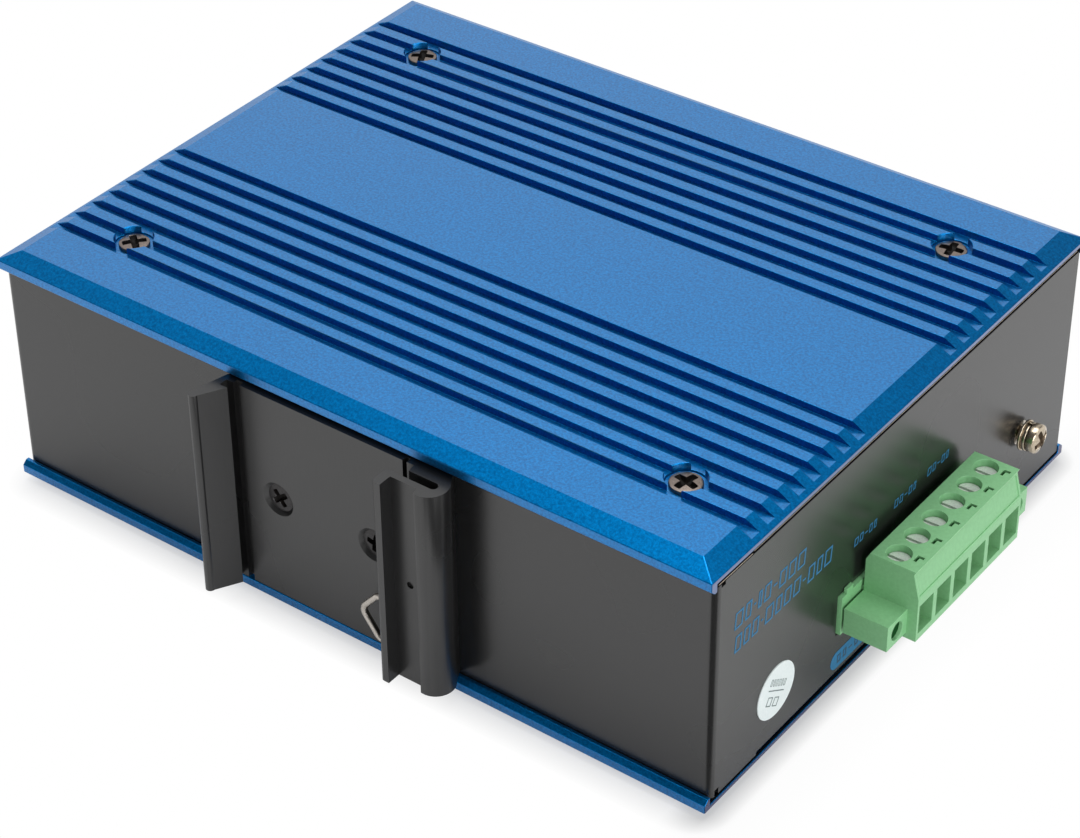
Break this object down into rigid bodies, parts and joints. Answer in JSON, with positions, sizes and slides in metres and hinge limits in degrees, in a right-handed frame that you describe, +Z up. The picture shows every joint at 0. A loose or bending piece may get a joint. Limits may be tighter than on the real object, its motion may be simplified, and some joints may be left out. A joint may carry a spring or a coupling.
{
  "type": "poe switch",
  "caption": "Rail-mounted network switch in a ribbed two-cover metal housing, with a wire-spring rail clip, a plug-in power terminal, a ground screw and stacked data ports.",
  "frame": {"origin": "centre of the bottom cover's outer face, which it lies on", "axes": "+X towards the power terminal's end wall, +Y towards the data ports, -Y towards the rail clip, +Z up through the two covers"},
  "size_m": [0.1449, 0.1119, 0.045],
  "materials": {
    "cover_blue": "satin blue coat on an aluminium extrusion",
    "chassis_black": "fine-textured satin black powder coat on steel",
    "clip_black": "satin black anodised extrusion",
    "screw_dark": "dark nickel plate",
    "screw_bright": "bright nickel plate",
    "spring_steel": "drawn spring wire",
    "terminal_green": "moulded green plastic, slight sheen",
    "sticker_white": "matt white film",
    "board_green": "green solder mask",
    "jack_plastic": "moulded black plastic",
    "jack_shell": "nickel-plated sheet",
    "contact_gold": "gold-plated spring contacts",
    "light_lens": "clear green lens",
    "chip_black": "moulded package",
    "bare_aluminium": "bare aluminium",
    "capacitor_sleeve": "shrunk sleeve",
    "ferrite": "ferrite"
  },
  "bodies": {
    "root": {"top_cover": "cover_blue", "bottom_cover": "cover_blue", "top_cover_screws": "screw_dark", "bottom_cover_screws": "screw_dark", "cover_nuts": "screw_bright", "chassis_frame": "chassis_black", "port_panel": "chassis_black", "rail_clip": "clip_black", "rail_clip_spring": "spring_steel", "rail_clip_screws": "screw_dark", "rail_clip_nuts": "screw_bright", "terminal_header": "terminal_green", "header_pins": "screw_bright", "terminal_plug": "terminal_green", "plug_clamp_screws": "screw_bright", "plug_clamp_cages": "screw_bright", "plug_flange_screws": "screw_bright", "ground_screw": "screw_bright", "ground_flat_washer": "screw_bright", "ground_spring_washer": "screw_bright", "ground_nut": "screw_bright", "round_sticker": "sticker_white", "circuit_board": "board_green", "board_standoffs": "screw_bright", "board_screws": "screw_bright", "port_jack_body": "jack_plastic", "port_jack_shell": "jack_shell", "port_jack_contacts": "contact_gold", "uplink_jack_body": "jack_plastic", "uplink_jack_shell": "jack_shell", "uplink_jack_contacts": "contact_gold", "light_holder": "chip_black", "status_lights": "light_lens", "line_transformers": "chip_black", "switch_chip": "chip_black", "chip_heatsink": "bare_aluminium", "power_controllers": "chip_black", "storage_capacitors": "capacitor_sleeve", "power_inductors": "ferrite", "power_transformer": "ferrite"}
  },
  "joints": []
}
